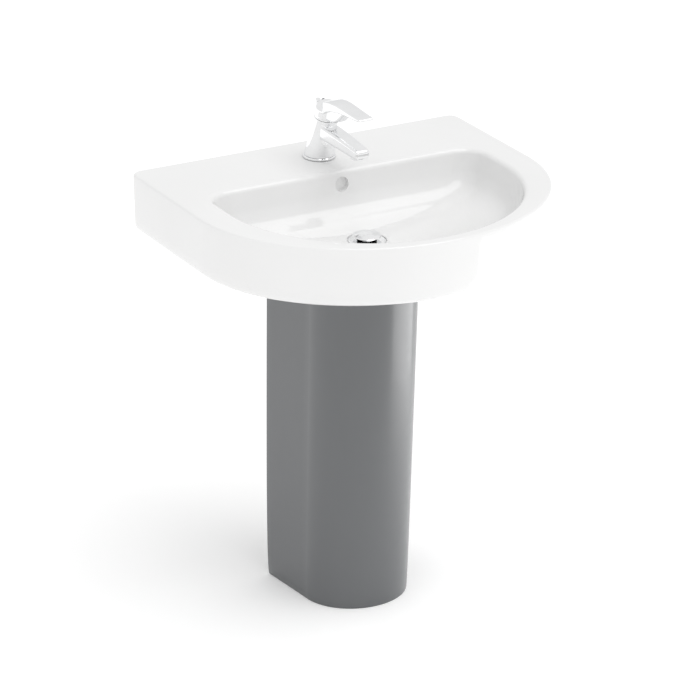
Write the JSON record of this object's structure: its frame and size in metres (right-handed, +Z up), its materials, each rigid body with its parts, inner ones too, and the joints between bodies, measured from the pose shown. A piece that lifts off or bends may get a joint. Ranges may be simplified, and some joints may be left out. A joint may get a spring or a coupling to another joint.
{
  "type": "pedestal sink",
  "caption": "Ceramic wash basin with a rounded front on a grey pedestal, with a single-lever mixer tap, pop-up waste and bottle trap.",
  "frame": {"origin": "on the floor, under the middle of the whole object's box", "axes": "+Z up; -Y is the front, where the user stands; +Y towards the wall; +X to the right seen from the front"},
  "size_m": [0.7, 0.56, 0.9486],
  "materials": {
    "white_glaze": "clear gloss white glaze",
    "grey_glaze": "clear gloss cool grey glaze",
    "chrome": "polished chrome plate",
    "steel": "satin stainless steel",
    "brass": "turned brass",
    "copper": "bright drawn copper",
    "black_rubber": "matt black rubber",
    "white_plastic": "moulded white plastic",
    "grey_plastic": "moulded grey plastic"
  },
  "bodies": {
    "root": {"basin": "white_glaze", "pedestal": "grey_glaze", "tap_body": "chrome", "tap_base_plate": "chrome", "aerator_housing": "chrome", "waste_body": "chrome", "trap_cup": "chrome", "trap_body": "chrome", "trap_inlet_nut": "chrome", "trap_outlet_nut": "chrome", "outlet_pipe": "chrome", "tailpipe": "chrome", "wall_flange": "chrome", "pivot_nut": "chrome", "horseshoe_plate": "steel", "tap_stud": "steel", "tap_nut": "brass", "cartridge_nut": "brass", "waste_nut": "brass", "hot_tail": "copper", "cold_tail": "copper", "tap_gasket": "black_rubber", "deck_washer": "black_rubber", "waste_gasket": "black_rubber", "waste_seal": "black_rubber", "trap_seal": "black_rubber", "seat_gasket": "black_rubber", "cartridge_body": "white_plastic", "ball_seat": "white_plastic", "aerator_insert": "white_plastic"},
    "swivel": {"cartridge_carrier": "white_plastic", "swivel_turret": "chrome"},
    "lever": {"lever_handle": "chrome", "lever_stem": "brass", "lever_screw": "steel", "index_button": "grey_plastic"},
    "lift": {"lift_rod": "chrome", "lift_knob": "chrome", "lift_strap": "steel", "strap_screw": "brass"},
    "pivot": {"pivot_rod": "steel"},
    "plug": {"waste_plug": "chrome", "plug_seal": "black_rubber"}
  },
  "joints": [
    {"name": "lever_swivel", "type": "hinge", "parent": "root", "child": "swivel", "pos_m": [0, 0.17347, 0.90713], "axis": [0, -0.2504, 0.9681], "range_deg": [-45, 45]},
    {"name": "lever_tilt", "type": "hinge", "parent": "swivel", "child": "lever", "pos_m": [0, 0.17347, 0.90713], "axis": [-1, 0, 0], "range_deg": [0, 18]},
    {"name": "lift_slide", "type": "slide", "parent": "root", "child": "lift", "axis": [0, 0, 1], "range_m": [0, 0.036]},
    {"name": "pivot_tilt", "type": "hinge", "parent": "root", "child": "pivot", "pos_m": [0, 0.046, 0.655], "axis": [1, 0, 0], "range_deg": [0, 13.2]},
    {"name": "plug_slide", "type": "slide", "parent": "root", "child": "plug", "axis": [0, 0, 1], "range_m": [-0.0066, 0]}
  ],
  "couplings": [
    {"joint": "pivot_tilt", "follows": "lift_slide", "rad_per_m": 6.322},
    {"joint": "plug_slide", "follows": "lift_slide", "ratio": -0.17778}
  ]
}
